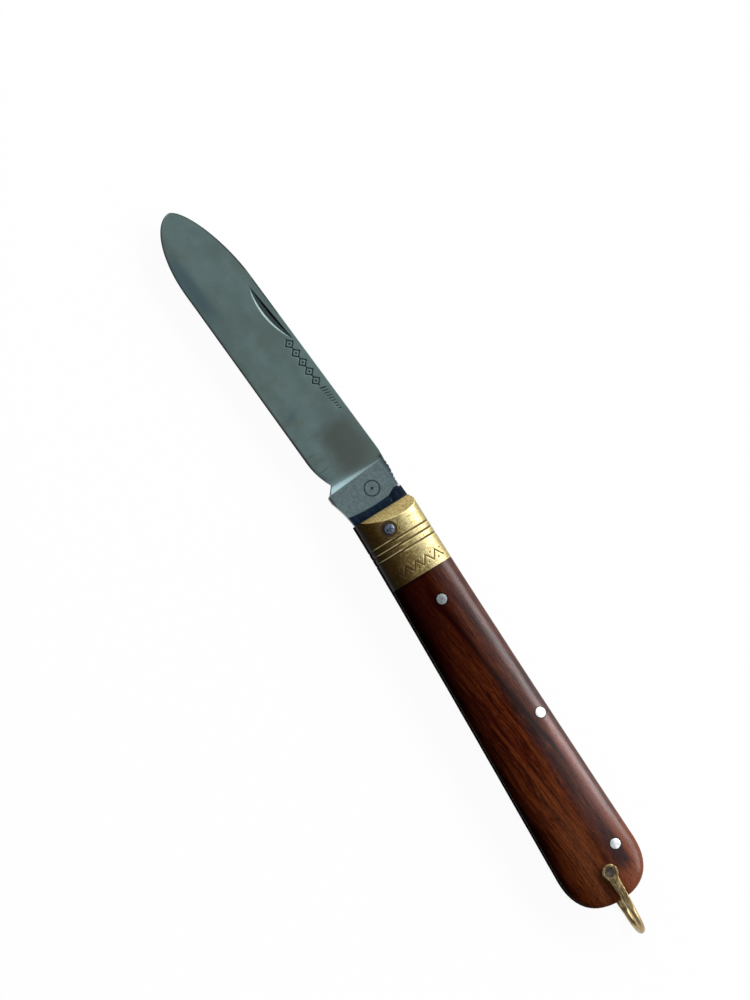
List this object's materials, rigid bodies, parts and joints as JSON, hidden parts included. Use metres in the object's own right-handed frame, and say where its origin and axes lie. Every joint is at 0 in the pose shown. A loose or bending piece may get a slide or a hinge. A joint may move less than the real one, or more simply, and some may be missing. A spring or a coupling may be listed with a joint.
{
  "type": "pocket knife",
  "caption": "Folding pocket knife with a round-tipped blade, a backspring that holds it open or shut, brass bolsters, wooden scales and a wire bail over the butt.",
  "frame": {"origin": "middle of the open knife's box, on the surface that it lies on", "axes": "+X from the blade's tip to the butt, +Y from the cutting edge's side to the back of the handle, +Z out of the face that carries the nail nick"},
  "size_m": [0.2096, 0.0242, 0.0121],
  "materials": {
    "blade_steel": "satin, ground across",
    "spring_steel": "blackened, worn",
    "liner_brass": "tarnished",
    "bolster_brass": "polished, tarnished",
    "wood": "oiled and polished",
    "pivot_steel": "peened",
    "pin_steel": "filed flush",
    "cover_pin_steel": "filed flush",
    "bail_brass": "hammered, dull",
    "bail_pin_steel": "peened"
  },
  "bodies": {
    "handle": {"backspring": "spring_steel", "front_liner": "liner_brass", "back_liner": "liner_brass", "front_bolster": "bolster_brass", "back_bolster": "bolster_brass", "front_scale": "wood", "back_scale": "wood", "pivot_pin": "pivot_steel", "spring_pin": "pin_steel", "end_pin": "pin_steel", "front_cover_pin": "cover_pin_steel", "back_cover_pin": "cover_pin_steel", "bail_pin": "bail_pin_steel"},
    "blade": {"blade": "blade_steel"},
    "bail": {"bail": "bail_brass"}
  },
  "joints": [
    {"name": "blade_hinge", "type": "hinge", "parent": "handle", "child": "blade", "pos_m": [-0.01132, -0.0002, 0.00605], "axis": [0, 0, 1], "range_deg": [0, 173], "deforming": ["backspring"]},
    {"name": "bail_hinge", "type": "hinge", "parent": "handle", "child": "bail", "pos_m": [0.08778, 0.0021, 0.00605], "axis": [0, 0, 1], "range_deg": [-115, 130]}
  ]
}
